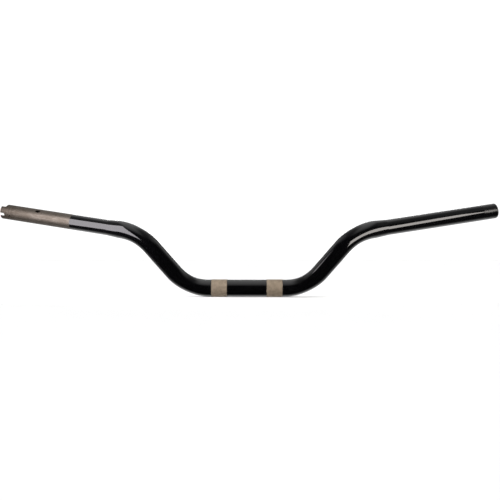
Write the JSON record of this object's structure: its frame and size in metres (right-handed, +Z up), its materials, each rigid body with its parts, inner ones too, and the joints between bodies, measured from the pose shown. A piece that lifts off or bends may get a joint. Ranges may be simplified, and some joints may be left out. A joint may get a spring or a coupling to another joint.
{
  "type": "motorcycle handlebar",
  "caption": "Bent tubular motorcycle handlebar with knurled riser seats, stepped thinner grip ends, a notched throttle end and a plugged clutch end.",
  "frame": {"origin": "On the clamp centreline, midway between the two riser seats.", "axes": "+X to the rider's left (the clutch side), +Y back to the rider, +Z up, in the direction of the rise."},
  "size_m": [0.8492, 0.0929, 0.1569],
  "materials": {
    "gloss_black_coat": "gloss black powder coat on steel",
    "satin_black_coat": "satin black coat on steel",
    "bare_steel": "satin turned steel, bare near the tip and black coated towards the bend",
    "knurled_steel": "bare knurled steel"
  },
  "bodies": {
    "root": {"main_tube": "gloss_black_coat", "throttle_grip_tube": "bare_steel", "clutch_grip_tube": "gloss_black_coat", "throttle_weld": "gloss_black_coat", "clutch_weld": "gloss_black_coat", "riser_seat_right": "knurled_steel", "riser_seat_left": "knurled_steel", "clutch_end_plug": "satin_black_coat"}
  },
  "joints": []
}
